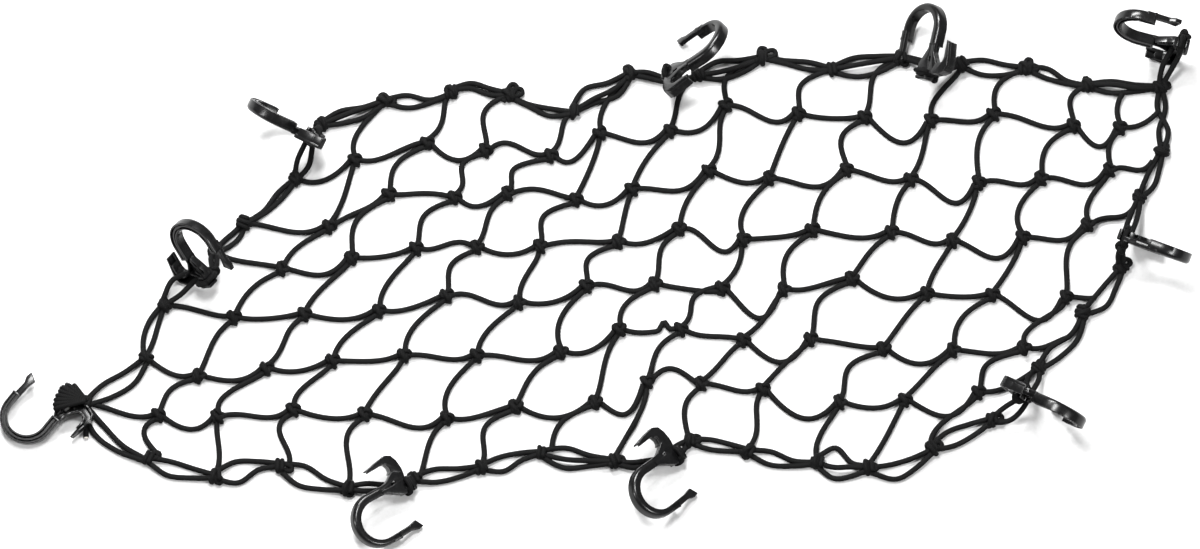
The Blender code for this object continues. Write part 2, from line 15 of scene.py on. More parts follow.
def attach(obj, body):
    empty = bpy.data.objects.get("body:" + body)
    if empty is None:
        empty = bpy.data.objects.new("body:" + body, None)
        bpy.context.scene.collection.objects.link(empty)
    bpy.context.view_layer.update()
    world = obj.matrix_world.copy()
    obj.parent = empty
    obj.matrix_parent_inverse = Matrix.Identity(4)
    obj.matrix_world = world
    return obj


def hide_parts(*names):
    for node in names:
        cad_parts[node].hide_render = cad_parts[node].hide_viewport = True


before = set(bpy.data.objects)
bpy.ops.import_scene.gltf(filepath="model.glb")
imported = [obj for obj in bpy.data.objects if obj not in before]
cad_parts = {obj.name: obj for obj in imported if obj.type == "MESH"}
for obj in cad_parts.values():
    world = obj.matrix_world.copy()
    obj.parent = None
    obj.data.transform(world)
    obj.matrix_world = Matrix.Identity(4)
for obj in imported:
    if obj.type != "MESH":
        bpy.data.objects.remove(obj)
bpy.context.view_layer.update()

MM = 0.001
CENTRE = Vector((-1.9, -6, 0))  # middle of the whole object in the tables below
CORD = 4.9  # across the cord
SIDES = 12  # of a cord's tube
STRAND_STEP = 2.6  # between the rings of a strand's tube
KNOT_STEP = 1.7
CURVE_PARTS = 8  # that each span of a smooth curve is drawn in
UPRIGHT = 0.2  # a path whose start is this near upright takes its first side from X
STRAND_POINTS = 25
HANDLE = 0.36  # share of a strand's length from each end to its curve's inner points
KNOT_CORD = 4.3  # height of a cord's middle where it enters a knot
LOW_CORD = 2.55  # height of a cord's middle where it lies on the surface
COMES_DOWN = 14  # how far from a knot it gets there
OUT_OF_KNOT = 3  # from a knot's middle to where its cords come out
PAIR_APART = 2.45  # from the middle between the two low cords of a knot to each

# Knots. The cord is drawn thinner in them, so each kind of turn has its own radius.
LOBE_POINTS = 24
NET_SEED = 7
NET_LOBES = {"radius": 2.15, "reach": (5.2, 5.8), "rise": 2.3, "height": 4.7, "mirrored": 0.4}
NET_TURN = {"share": 0.8, "less": 15, "spread": 0.25}  # of its row's way; degrees; radians either way
BAND_POINTS = 9
BAND_POWER = 0.7  # a power below 1 makes a turn of cord fuller at its corners
NET_BAND = {"half_width": (5.3, 6), "top": 8.6, "low": 2.6, "bow": (-1.6, 0.4), "off": 1.2}
TURN_RADIUS = 2.2  # of the cord in bands, edge knots and loops
EDGE_SEED = 3
EDGE_TURNS = {"number": (1.8, 2.3), "reach": (4.5, 5.3), "pitch": 3.9, "height": 5, "rise": 2.7, "start": 0.6}
EDGE_POINTS = 10  # in each turn
EDGE_POWER = 0.8
EDGE_BAND = {"wider": 0.6, "top": 9.4, "low": 2.8, "slant": 1.2, "off": 1.5, "bow": 2}
EDGE_SLEW = 0.35  # radians either way that an edge knot may lie off its cord
EDGE_KNOT = 4.8  # height of an edge knot's middle
EAR = {"height": 6.2, "fall": 2.6}
# A standing loop's course: share of the way out, and to the side in half widths.
EAR_COURSE = ((0, -0.7), (0.55, -1), (0.95, -0.75), (1, 0.5), (0.7, 1), (0, 0.8))

# The cord round a hook's neck: from and to along the hook, how far out, how many turns and their first share.
WRAPS = ((36.9, 40.3, 1.9, 2, 0.3), (38.8, 37.2, 3.6, 1, 0.6))
WRAP_RADIUS = 1.8
WRAP_POINTS = 14  # in each turn
WRAP_POWER = 0.7
BAND_MIDDLE = 38.7  # along a hook, the middle of these turns
# The binding knot beside the neck is three lobes and a loop.
TIE_REACH = {"across": 9.5, "thick": 10.5}  # from the middle of the neck to the knot
TIE_HEIGHT = 6.5  # the least that the knot's middle has
TIE_TILT = 0.3
TIE_LOBES = {"radius": 2.1, "reach": 4.4, "rise": 2, "turn": (0, 2), "mirrored": 0.5}
TIE_LOOP = {"radius": 2, "half_width": 3.6, "half_height": 3.4, "nearer": 2.5, "points": 12}

# Net knots lie on an even lattice, and each has slipped a little: for each row, how far along and how far up.
FIRST_KNOT = Vector((-224, 116))
ALONG = Vector((58, 2))  # from one column to the next
DOWN = Vector((-29, -50))  # from one row to the next
ROW_SLIPS = (
    ((10, 15, 8, 7, -8, -5, -14, -9, -9, -9, -12, -1, -18), (-11, 3, -6, -13, 6, 6, 28, 18, 13, 8, 12, -1, -5)),
    ((17, 11, 10, -1, 0, -9, 0, -5, 4, 2, 3, 0, 2), (-23, 5, 0, 2, -6, 2, 17, 8, 14, 3, -2, 0, 6)),
    ((6, 8, 6, 1, -2, 8, 3, 1, 3, 14, 9, 12, 11), (-12, -4, 3, 2, 1, 3, 13, 1, 8, 4, -6, -5, 5)),
    ((-7, -4, 3, 4, 9, 9, 11, 11, 7, 8, 15, 14, 20), (-7, -6, -5, 7, -1, 12, 12, 6, 3, 11, -5, -8, -12)),
    ((-8, -7, -8, -4, 1, 16, 9, 4, 0, 1, 6, 9, 12), (-11, -6, -1, 2, 0, 1, 20, 18, 6, 5, -6, -9, -9)),
    ((-14, -20, -13, -9, 4, 6, 17, 4, -7, -12, -3, -5, 1), (3, 0, 4, -2, -8, 1, 3, 20, 16, 9, -5, -5, 0)),
)
ROWS = len(ROW_SLIPS)
COLUMNS = 13

# Edge knots, (x, y), in order along each edge.
LEFT_KNOTS = ((-243, 138), (-265, 88), (-310, 46), (-335, 19), (-378, -30), (-394, -78), (-446, -120))
RIGHT_KNOTS = ((490, 173), (490, 113), (470, 70), (454, 6), (419, -37), (380, -88), (339, -136))
TOP_KNOTS = (
    (-188, 160), (-130, 168), (-80, 165), (-23, 150), (26, 185), (86, 184), (141, 200), (203, 189),
    (263, 200), (316, 194), (372, 190), (426, 174),
)
BOTTOM_KNOTS = (
    (-391, -171), (-333, -187), (-277, -178), (-218, -198), (-162, -190), (-103, -179), (-51, -166),
    (12, -173), (77, -155), (128, -164), (188, -174), (232, -179), (287, -162),
)
# Where the cord of each row meets the right edge, (x, y).
ROW_ENDS = ((488, 150), (482, 104), (470, 70), (431, -23), (408, -59), (380, -88))
LAST_COLUMN_TOP = (457, 167)  # where the cord of the last column leaves the top edge
COLUMN_FEET = {1: 10, 3: 8, 5: 6, 7: 9}  # how far right of its edge knot a column's cord ends

# How far up each strand of a row lies from where its knots send it, a third and two thirds of the way: from
# the left edge to the first knot, then from each knot to the next.
ROW_SWAYS = (
    ((-6.5, -5.5), (-1, 2), (-9.5, -8.5), (10, 4.5), (-10, -7.5), (-4, -7), (-6, -7.5),
     (-1, -6), (0, 1.5), (-14, -16), (0.5, -1.5), (1.5, -1), (-12.5, -13.5), (-1.5, -1.5)),
    ((-1.5, -4), (4.5, 1), (3.5, 5.5), (-7.5, -5), (8, 7.5), (-6, -5.5), (-3, -8),
     (-3.5, -3.5), (-4.5, -9), (0, -1), (-7, -15), (2.5, -1), (-2, -7.5), (0.5, -3.5)),
    ((-2, 1.5), (-5.5, -8.5), (0, 0), (2.5, 7.5), (-4, -3), (5.5, 4.5), (-3, -1.5),
     (-1.5, -10), (1.5, 1), (-2, -3), (0.5, -2), (-8, -13.5), (-2.5, -6), (1, -5.5)),
    ((2.5, 3), (0, 1), (-3, -3.5), (-1, 0), (4, -0.5), (-3, -3), (2, -3),
     (0.5, 2), (-15.5, -21.5), (0, 2), (-8, -6.5), (0, 0.5), (-10.5, -17.5), (1, 1)),
    ((-5.5, -4.5), (-4, -5.5), (-3, -2.5), (0.5, 0), (2, 0), (0, -3.5), (-4.5, -4.5),
     (-1, 1), (-1, 2), (-14, -16), (2, 2.5), (-9.5, -9.5), (-1, -2.5), (-1, 1)),
    ((0, 0), (-7.5, -7.5), (2.5, -0.5), (-2, -1), (-2.5, -6), (-0.5, 1.5), (-8.5, -8.5),
     (-12.5, -17), (14.5, 13), (1, 0), (-14.5, -13.5), (-3, -3), (-11, -14.5), (-1, 0)),
)
# How far right each strand of a column lies, in the same way: from the top edge down to the bottom edge.
COLUMN_SWAYS = (
    ((0, -5), (4.5, 8), (-10, -5.5), (0.5, 3.5), (0, -3.5), (-2.5, 0), (-12, -9.5),
     (-12, -7.5), (-8, -2.5), (4.5, -1.5), (-8.5, -6.5), (-7, -4.5), (-1.5, -4)),
    ((6, 6.5), (-8.5, -6), (-7, 1), (-14, -7), (6, 5), (2, 1), (3, 6),
     (4.5, 3), (-9, -7), (6, 6), (-2.5, -3), (-5.5, -5), (-2, -2.5)),
    ((0, -1), (-11.5, -8), (-9, -5), (-2, 1), (-12, -7), (2.5, 2), (-0.5, -1.5),
     (-2, -6), (-3.5, -3), (0.5, -0.5), (8, 7), (-4.5, -7.5), (-0.5, -4)),
    ((-1, -1), (4, 2), (1, -2), (-8.5, -5), (4.5, 0), (-11.5, -7), (-4.5, -1.5),
     (8.5, 8.5), (-6.5, -6), (1, 2), (4, 1.5), (7.5, 6.5), (-5.5, -3)),
    ((1, 1.5), (1.5, 5), (0, -1.5), (-2.5, -4), (1, -1.5), (-5, -7), (-6, -6),
     (-7, 0), (6.5, 9), (-10.5, -5.5), (4.5, 4.5), (-5.5, -5.5), (6, -2.5)),
    ((-5.5, -3), (-1.5, -6), (2, -2), (6, 3.5), (-2, -5.5), (-3, -1), (0.5, 1.5),
     (-3.5, -1.5), (4.5, 6), (4.5, 4.5), (-10.5, -5), (4, 5.5), (-12, -7)),
    ((-7, -6.5), (6, 6), (-5.5, -1), (-4, 0), (0.5, 1), (-12, -4.5), (-8, -6.5),
     (9.5, 7), (-4.5, -4), (4.5, 7), (2.5, -2), (7, 6.5), (1, -4.5)),
)
CROSSED_PAIRS = ((4, 8),)  # knots whose cord to the left leaves below the cord down
DEEP_SAG = 8  # a row's strand that sags more than this comes into its knot from lower down,
SAG_SHARE = 0.3  # by this share of the rest
# How far each way out of a knot follows its first direction, rather than its second.
WAY_SHARES = {"low": 0.5, "left": 0.65, "down": 0.45, "right": 0.5, "up": 0.5}
RIGHT_LEAN = Vector((1, -0.15))
UP_LEAN = Vector((0.05, 1))
# How a strand leaves or meets each edge: how far it follows its own way, and what it leans to.
EDGE_LEANS = {
    "left": (0.4, Vector((1, 0))),
    "right": (0.7, Vector((0.4, 1))),
    "top": (0.4, Vector((-0.9, -0.35))),
    "bottom": (0.7, Vector((0.2, -1))),
}
# A short kink in a row's strand: (row, column at its left), share of the way, height and width.
ROW_KINKS = {(5, 7): (0.77, 8, 0.07)}

# Each span of the edge cord: its two ends and, for each strand, how far it stands off the straight line to
# the left of travel, a third and two thirds of the way.
TOP_SPANS = (
    ("L0", "T1", (6, 2), (-6, -7)), ("T1", "T2", (3, -4), (-9, -7)), ("T2", "T3", (10, 6), (5, 0)),
    ("T3", "T4", (-3, -2), (-5, -9)), ("T4", "T5", (12, 5), (-4, -10)), ("T5", "hook_4", (4, 2), (-1, -2)),
    ("hook_4", "T6", (0, 0)), ("T6", "T7", (8, 4), (-9, -8)), ("T7", "T8", (2, 4), (-1, -3)),
    ("T8", "T9", (8, 6), (-10, -9)), ("T9", "hook_5", (6, 8), (3, 5)), ("hook_5", "T10", (7, 4), (2, 0)),
    ("T10", "T11", (6, 3), (-8, -7)), ("T11", "T12", (6, 0), (-3, -3)), ("T12", "R0", (5, 2), (-6, -4)),
    ("R0", "hook_6", (6, 5), (-2, -3)), ("L0", "hook_3", (0, 0)),
)
BOTTOM_SPANS = (
    ("hook_1", "L6", (0, 0)), ("L6", "B1", (-4, -6), (-15, -13)), ("B1", "B2", (3, 2), (-10, -7)),
    ("B2", "B3", (10.5, 8), (-9, 0)), ("B3", "B4", (7.5, 2), (-11, -8)), ("B4", "hook_10", (3, 1), (-4, -3)),
    ("hook_10", "B5", (4, 3), (-4, -3)), ("B5", "B6", (6, 3), (-6, -5)), ("B6", "B7", (5.5, 5), (-8, -2)),
    ("B7", "B8", (7.5, 3), (-11, -7)), ("B8", "hook_9", (-3, -2), (-8, -6)),
    ("hook_9", "B9", (4, 3), (-4, -3)), ("B9", "B10", (5, 4), (-4, -3)), ("B10", "B11", (3, -2), (-9, -7)),
    ("B11", "B12", (15, 3), (-13, -10)), ("B12", "B13", (-3, -3), (-17, -13)),
    ("B13", "R6", (8, 6), (-6, -5)),
)
LEFT_SPANS = (
    ("hook_3", "L1", (5, 7), (-3, -4)), ("L1", "L2", (5, 5), (-1, 3)), ("L2", "L3", (6, 5), (-1, -2)),
    ("L3", "hook_2", (2, 2), (-3, -2)), ("hook_2", "L4", (-3, 0), (-11, -15)), ("L4", "L5", (0, 1), (-8, -8)),
    ("L5", "L6", (12, 10), (-1, -4)),
)
RIGHT_SPANS = (
    ("R0", "R1", (4, -2), (-3, 6)), ("R1", "R2", (5, 7), (-2, -2)), ("R2", "hook_7", (4, 4), (-2, -2)),
    ("hook_7", "R3", (1, 1), (-3, -3)), ("R3", "R4", (8, 12), (-1, -1)), ("R4", "R5", (11, 9), (4, -3)),
    ("R5", "hook_8", (4, 3), (-5, -4)), ("hook_8", "R6", (8, 9), (-3, -3)),
)
THIRD_STRANDS = {
    ("L0", "T1"): (0, 0), ("T4", "T5"): (-1, -4), ("T6", "T7"): (-3, -3), ("T8", "T9"): (0, 0),
    ("T12", "R0"): (1, -2), ("B7", "B8"): (-4, -3), ("B11", "B12"): (-4, -2),
}
STRAND_LIFTS = (0, 0.5, 3.4)  # of the first, second and third strand of a span
END_SHARE = 0.3  # of its nearest offset that a strand keeps at its knots
TIP_SPOTS = (-0.8, 0.4, 1.1)  # the pale tip, from the loose end and outwards
TIP_RADIUS = 1.9
TIP_STEP = 0.7
LOOSE_END = (((-447, -127), 5), ((-445.5, -142), 3.4), ((-445, -151), 2.6))  # (x, y), height

# One row per hook: where the middle of its curve is, which way its shank points (degrees from +X), how far
# it is rolled about the shank and how far its head is lifted.
HOOKS = {
    "hook_1": ((-496, -134, 8.43), 51, 182, 8),
    "hook_2": ((-350, 9, 55.92), 307.5, 245, -38),
    "hook_3": ((-285, 135, 35.54), 346, 118.5, -32),
    "hook_4": ((91, 204, 30.23), 199, 39, -40),
    "hook_5": ((283, 219, 23.1), 256.5, 47, -12),
    "hook_6": ((472, 212, 49.33), 345.5, 262.5, -4),
    "hook_7": ((489, 5, 48.64), 157, 251, -5),
    "hook_8": ((398, -139, 35.89), 142, 74, -36),
    "hook_9": ((48, -206, 18.49), 43, 19, -22),
    "hook_10": ((-191, -231, 13.4), 34, 18, -13),
}

# The hook lies in its own plane: "along" runs down the shank from the middle of its curve to its head,
# "across" runs from the middle of its curve to the shank, and side A is at +HOOK_THICK / 2.
HOOK_THICK = 10
HOOK_INSIDE = 17.2  # radius inside the curve
HOOK_OUTSIDE = 25.2  # radius outside the curve, at the shank
ARM_OUTSIDE = 23.2  # the bar is thinner at its free arm
NECK_ACROSS = (11.5, 18.5)
NECK_ALONG = (33.5, 42)
ARM_BLADE = 0.5  # the thin arm goes from this height to side A
CHANNEL_FLOOR = -4.2
GROOVE = -1.5  # how deep the two grooves beside the rims go
RIM = 1.7  # width of the rims beside the channel on side B
ARM_STEP = 10  # along the arm, where its full depth ends
ARM_LAP = 0.4  # how far the bar ends inside the plate that closes it
ARM_END = ((-1.5, -17.2), (-1.5, -23.2), (0.8, -23.2), (0.8, -17.2))  # that plate, from the step
ARM_ROOT = 2  # along the arm, where its thin part begins inside the bar
CURVE_STEPS = 36
BAR_END = 13.2  # along the shank
SHANK_END = (12.4, 14.2)  # the plate that closes the bar there
FAN_LOW = 1.8  # the fan's plates lie between this height and side A
CLAW_LOW = 1.6
PLATE_STEP = 0.04  # each plate is thinner by this on both sides, so that no faces coincide
WALL_WIDTH = 1.6
WALL_TOP = 1.2  # how far below side A a wall ends
BEVEL_SEGMENTS = 3
SHARP_EDGE = 38  # degrees
# How far the edges of each kind of plate are rounded.
ROUNDING = {"end": 0.35, "arm": 0.7, "fan": 0.5, "wall": 0.3, "neck": 0.8, "head": 0.9, "claw": 0.6}
# Outlines in (along, across).
ARM_TIP = ((22, -21.4), (27.5, -23.4), (33, -22.2), (28.5, -14.4), (21.5, -16.2))
# The fan is four flat plates round a slot at (24.6, 21.4) to (29.1, 23.9).
FAN = (
    ((12, 17.2), (17, 17.2), (25, 12.5), (31, 9), (34.5, 9),
     (36, 11.5), (38.4, 22.4), (24.6, 20.9), (12, 21.4)),
    ((12, 20.8), (24.6, 23.4), (29, 24.3), (38.4, 22), (39.5, 26),
     (40, 31), (30, 32), (20, 25.4), (12, 25.2)),
    ((12.5, 18), (24.6, 17), (24.6, 26.5), (12.5, 24.8)),
    ((29.1, 14), (36.4, 14), (38.9, 28), (29.1, 30.6)),
)
# Rims and ribs of the fan on side B: a line and how far down it goes.
FAN_WALLS = (
    (((16, 18), (25.2, 13.4), (31, 9.9)), -1.5),
    (((31.4, 9.9), (34.4, 9.9), (36, 12.5)), -5),
    (((13.5, 24.4), (20, 24.6), (25.4, 27.6), (30.2, 31.2)), -1.5),
    (((35, 13), (25, 16)), -1.5),
    (((35, 15), (18, 19.6)), -1.5),
    (((35, 17), (30, 21)), -1.5),
    (((36, 20), (31, 28.5)), -1.5),
    (((38.6, 24), (39, 30)), -5),
)
HEAD = ((41.5, 8), (44.5, 8.5), (45, 11), (45, 19), (44.5, 21.5), (41.5, 22))
CLAW = (
    (39.5, 26), (40, 31), (39, 38.5), (36.5, 44.5), (31.5, 47), (23.5, 46), (10, 43.2),
    (9, 40), (18.5, 40.4), (25, 40.8), (28.6, 39.4), (30, 36), (29.6, 32),
)
CLAW_WALLS = (
    ((39, 28), (39.1, 31), (38.1, 38.2), (35.9, 43.8), (31.3, 46.1), (23.7, 45), (11, 42.4)),
    ((29, 31), (30.6, 32.6), (31, 36.4), (29.3, 40.2), (25.2, 41.8), (18.5, 41.3)),
)

# On hook_1 cords spread over the head: from one place to each of the others, in (along, across).
CORD_FAN_ROOT = (41.5, 33)
CORD_FAN_TIPS = (
    (20, 16), (22.5, 13.2), (26, 11.2), (30, 10), (34.5, 9.4), (39, 9.8), (43, 12),
    (46, 16),
)
CORD_FAN_RADIUS = 2.3
# Each of its cords: share of the way to the tip, and height in the hook's thickness.
CORD_FAN_COURSE = ((0, -8.4), (0.3, -8.6), (0.65, -8.2), (0.9, -7), (1, -4.5), (0.95, -2))
NARROW_KNOTS = ("T8", "B1", "B3", "B7")
NARROW_TURNS = 1.4
# Loops of cord that stand out from edge knots: which way (degrees), how far and half their width.
EARS = {
    "T1": ((115, 9, 2.3), (0, 11, 2.3)), "T2": ((135, 8, 2.3),), "T3": ((62, 14, 3.2), (20, 15, 3.2)),
    "T5": ((110, 10, 2.6),), "T7": ((80, 12, 3), (25, 16, 3.2)), "T9": ((95, 9, 2.6), (-50, 10, 2.3)),
    "T11": ((65, 12, 2.4), (5, 13, 2.3)), "T12": ((100, 10, 1.6),), "R0": ((15, 10, 2.6),),
    "R1": ((60, 10, 2.6),), "R3": ((40, 11, 3), (200, 9, 2.3)), "R4": ((60, 9, 2.4),),
    "R5": ((65, 10, 2.4),), "R6": ((20, 12, 2.6),), "L0": ((200, 8, 2.4),), "L2": ((60, 8, 2.3),),
    "L4": ((110, 8, 2.4),), "B1": ((25, 13, 2.4),), "B2": ((-50, 10, 2.4),), "B3": ((-15, 13, 2.6),),
    "B4": ((-70, 9, 2.4),), "B8": ((10, 11, 2.4),), "B9": ((15, 12, 3),), "B10": ((-110, 9, 1.8),),
    "B12": ((0, 10, 2.4),), "B13": ((30, 12, 2.6),),
}

# Looks. The tables give the colour or roughness at each place on a ramp. Noise scales are per metre.
BRAID_STRANDS = 8  # that run each way round the cord
CORD_COLOURS = ((0.3, (0.0004, 0.0004, 0.0004)), (0.95, (0.0048, 0.0048, 0.005)))
CORD_ROUGHNESS = ((0.3, 0.62), (0.7, 0.8))
CORD_SHADES = {"braid_and_groove_shade": 0.55, "fuzz": 0.3, "patches": 0.25}  # what each adds to the shade; the braid's share is painted shade, darker in the grooves between its strands
FUZZ_SCALE = 900
FUZZ_HEIGHT = 0.35  # of the braid's
PATCH_SCALE = 26
PLASTIC_COLOURS = ((0.3, (0.0012, 0.0012, 0.0013)), (0.75, (0.003, 0.003, 0.0032)))
PLASTIC_ROUGHNESS = ((0.35, 0.22), (0.7, 0.27))
RIPPLE_SCALE = 45
SCUFF_SCALE = 160
MOTTLING_SCALE = 400
MOTTLING_SHADE = 0.94
TIP_COLOUR = (0.4, 0.38, 0.35)
FLOOR_COLOUR = (0.41, 0.41, 0.41)

# The studio, in metres but for PIXEL.
FLOOR_REACH = 30
FLOOR_DROP = 0.0002  # below the object, so that nothing coincides with it
PHOTO_WIDTH = 1200
PIXEL = 0.87  # millimetres that a pixel of the photograph spans
CAMERA_RISE = 70  # degrees above the horizon
LENS = 400  # a long lens, in millimetres as the sensor
SENSOR = 36
FARTHEST = 200  # that the camera sees
WORLD_STRENGTH = 0.4
LIGHTS = (  # name, place, size and watts
    ("key", (-0.5, 1.6, 2), (1.4, 0.6), 190),
    ("fill", (1.6, -1.4, 2), (0.7, 0.7), 80),
    ("side", (-2, -0.6, 1.3), (0.3, 1), 30),
    ("overhead", (-0.3, 0.3, 2.45), (0.7, 0.5), 80),
)


class Skein:
    """Collects cord tubes for one piece: points, faces and, for each face corner, its place on the cord."""

    def __init__(self):
        self.points = []
        self.faces = []
        self.places = []
        self.count = 0

    def tube(self, route, radius, step, closed=False):
        """A round tube along a smooth curve through the route's points (mm)."""
        path = smooth(np.array([tuple(p) for p in route], float), step, closed)
        rings, along = frames(path, radius, closed)
        count = len(path)
        first = self.count
        self.points.append(rings.reshape(-1, 3))
        self.count += count * SIDES
        last = count if closed else count - 1
        for i in range(last):
            near, far = first + i * SIDES, first + (i + 1) % count * SIDES
            begin, end = along[i], along[i + 1]
            for k in range(SIDES):
                n = (k + 1) % SIDES
                self.faces.append((near + k, near + n, far + n, far + k))
                self.places += [(begin, k), (begin, k + 1), (end, k + 1), (end, k)]
        if closed:
            return
        for ring, spot, tip in ((0, along[0], path[0]), (count - 1, along[-1], path[-1])):
            self.points.append(tip[None, :])
            start = first + ring * SIDES
            for k in range(SIDES):
                n = (k + 1) % SIDES
                face = (start + n, start + k, self.count) if ring == 0 else (start + k, start + n, self.count)
                self.faces.append(face)
                self.places += [(spot, k), (spot, k + 1), (spot, k)]
            self.count += 1

    def piece(self, name, material):
        """The collected tubes as one object in metres."""
        points = (np.concatenate(self.points) - np.array(CENTRE)) * MM
        mesh = bpy.data.meshes.new(name)
        mesh.from_pydata(points.tolist(), [], self.faces)
        layer = mesh.uv_layers.new(name="cord")
        places = np.array(self.places, float)
        places[:, 1] /= SIDES
        layer.data.foreach_set("uv", places.ravel())
        mesh.shade_smooth()
        mesh.materials.append(material)
        return placed(name, mesh)


def placed(name, data):
    """A new object in the scene."""
    made = bpy.data.objects.new(name, data)
    bpy.context.scene.collection.objects.link(made)
    return made


def smooth(points, step, closed):
    """Points every step along a Catmull-Rom curve through the given ones."""
    count = len(points)
    if closed:
        padded = np.concatenate([points[-1:], points, points[:2]])
    else:
        padded = np.concatenate([2 * points[:1] - points[1:2], points, 2 * points[-1:] - points[-2:-1]])
    spans = count if closed else count - 1
    share = np.linspace(0, 1, CURVE_PARTS + 1)[:-1, None]
    fine = []
    for i in range(spans):
        a, b, c, d = padded[i : i + 4]
        bend = (2 * a - 5 * b + 4 * c - d) * share**2
        fine.append(0.5 * (2 * b + (c - a) * share + bend + (3 * b - a - 3 * c + d) * share**3))
    fine = np.concatenate([*fine, points[:1] if closed else points[-1:]])
    lengths = np.concatenate([[0], np.cumsum(np.linalg.norm(np.diff(fine, axis=0), axis=1))])
    number = max(int(round(lengths[-1] / step)), 3)
    spots = np.linspace(0, lengths[-1], number + 1)
    path = np.stack([np.interp(spots, lengths, fine[:, axis]) for axis in range(3)], 1)
    return path[:-1] if closed else path


def frames(path, radius, closed):
    """A ring of points at each place of the path, turned as little as can be, and the length up to each."""
    if closed:
        ahead = np.roll(path, -1, 0) - np.roll(path, 1, 0)
        gaps = np.linalg.norm(np.roll(path, -1, 0) - path, axis=1)
    else:
        ahead = np.gradient(path, axis=0)
        gaps = np.linalg.norm(np.diff(path, axis=0), axis=1)
    ahead /= np.linalg.norm(ahead, axis=1)[:, None]
    along = np.concatenate([[0], np.cumsum(gaps)])
    side = np.cross(ahead[0], (0.0, 0.0, 1.0))
    if np.linalg.norm(side) < UPRIGHT:
        side = np.cross(ahead[0], (1.0, 0.0, 0.0))
    angles = np.arange(SIDES) * 2 * pi / SIDES
    rings = []
    for spot, way in zip(path, ahead):
        side = side - way * side.dot(way)
        side /= np.linalg.norm(side)
        up = np.cross(side, way)
        ring = np.outer(np.cos(angles), side) + np.outer(np.sin(angles), up)
        rings.append(spot + radius * ring)
    if closed:
        close_twist(rings, path, ahead, side, radius)
    return np.array(rings), along


def close_twist(rings, path, ahead, side, radius):
    """Spreads the twist that a closed path leaves over all its rings."""
    first = (rings[0][0] - path[0]) / radius
    way = ahead[0]
    side = side - way * side.dot(way)
    side /= np.linalg.norm(side)
    angle = atan2(np.cross(side, first).dot(way), side.dot(first))
    count = len(rings)
    for i in range(count):
        turn = angle * i / count
        axis = ahead[i]
        arms = rings[i] - path[i]
        turned = arms * cos(turn) + np.cross(axis, arms) * sin(turn)
        rings[i] = path[i] + turned


def net_knot(row, column):
    """Where the knot of this row and column lies, both counted from 1."""
    along, up = ROW_SLIPS[row - 1]
    slip = Vector((along[column - 1], up[column - 1]))
    return FIRST_KNOT + ALONG * (column - 1) + DOWN * (row - 1) + slip


def top_end(column):
    return Vector(TOP_KNOTS[column - 1] if column < COLUMNS else RIGHT_KNOTS[0])


def row_neighbour(row, column):
    """The knot at the left of this one in its row, which may be an edge knot."""
    return net_knot(row, column - 1) if column > 1 else Vector(LEFT_KNOTS[row])


def below_neighbour(row, column):
    return net_knot(row + 1, column) if row < ROWS else Vector(BOTTOM_KNOTS[column - 1])


def mix(share, first, second):
    """A direction between two, nearer the first the larger the share."""
    return (share * first.normalized() + (1 - share) * second.normalized()).normalized()


def knot_ways(row, column):
    """The ways out of a knot. The cord to the left and the cord down leave low, beside each other."""
    here = net_knot(row, column)
    above = net_knot(row - 1, column) if row > 1 else top_end(column)
    ahead = net_knot(row, column + 1) if column < COLUMNS else Vector(ROW_ENDS[row - 1])
    to_left = row_neighbour(row, column) - here
    to_below = below_neighbour(row, column) - here
    between = {"right": (ahead - here, RIGHT_LEAN), "up": (above - here, UP_LEAN)}
    return {way: mix(share, *between.get(way, (to_left, to_below))) for way, share in WAY_SHARES.items()}


def port(row, column, way):
    """Where a cord comes out of a knot, and which way it goes."""
    here = net_knot(row, column)
    ways = knot_ways(row, column)
    if way in ("right", "up"):
        return here + ways[way] * OUT_OF_KNOT, ways[way]
    low = ways["low"]
    side = Vector((low.y, -low.x)) * (1 if (way == "left") != ((row, column) in CROSSED_PAIRS) else -1)
    return here + low * OUT_OF_KNOT + side * PAIR_APART, ways[way]


def strand_route(begin, leave, end, arrive, sway, across):
    """Points of a strand: it leaves and arrives as given, sways across its way, and lies low between.

    The factors 3 and 1.5 make the curve pass the two sways a third and two thirds of the way along.
    """
    length = (end - begin).length
    first = begin + leave * (length * HANDLE) + across * (3 * sway[0] - 1.5 * sway[1])
    second = end - arrive * (length * HANDLE) + across * (3 * sway[1] - 1.5 * sway[0])
    route = []
    for i in range(STRAND_POINTS):
        share = i / (STRAND_POINTS - 1)
        rest = 1 - share
        spot = begin * rest**3 + first * (3 * rest**2 * share) + second * (3 * rest * share**2) + end * share**3
        near = max(1 - share * length / COMES_DOWN, 0) ** 2 + max(1 - rest * length / COMES_DOWN, 0) ** 2
        route.append(Vector((spot.x, spot.y, LOW_CORD + near * (KNOT_CORD - LOW_CORD))))
    return route


def row_strand(row, column):
    """The strand from this knot, or from the left edge for column 0, to the next one of its row."""
    sway = ROW_SWAYS[row - 1][column]
    if column == 0:
        begin = Vector(LEFT_KNOTS[row])
        end, back = port(row, 1, "left")
        share, lean = EDGE_LEANS["left"]
        leave, arrive = mix(share, end - begin, lean), -back
    elif column == COLUMNS:
        begin, leave = port(row, column, "right")
        end = Vector(ROW_ENDS[row - 1])
        share, lean = EDGE_LEANS["right"]
        arrive = mix(share, end - begin, lean)
    else:
        begin, leave = port(row, column, "right")
        end, back = port(row, column + 1, "left")
        end.y += min(sway[1] + DEEP_SAG, 0) * SAG_SHARE
        arrive = -back
    route = strand_route(begin, leave, end, arrive, sway, Vector((0, 1)))
    if (row, column) in ROW_KINKS:
        place, height, width = ROW_KINKS[row, column]
        for i, spot in enumerate(route):
            spot.y += height * exp(-(((i / (STRAND_POINTS - 1) - place) / width) ** 2))
    return route


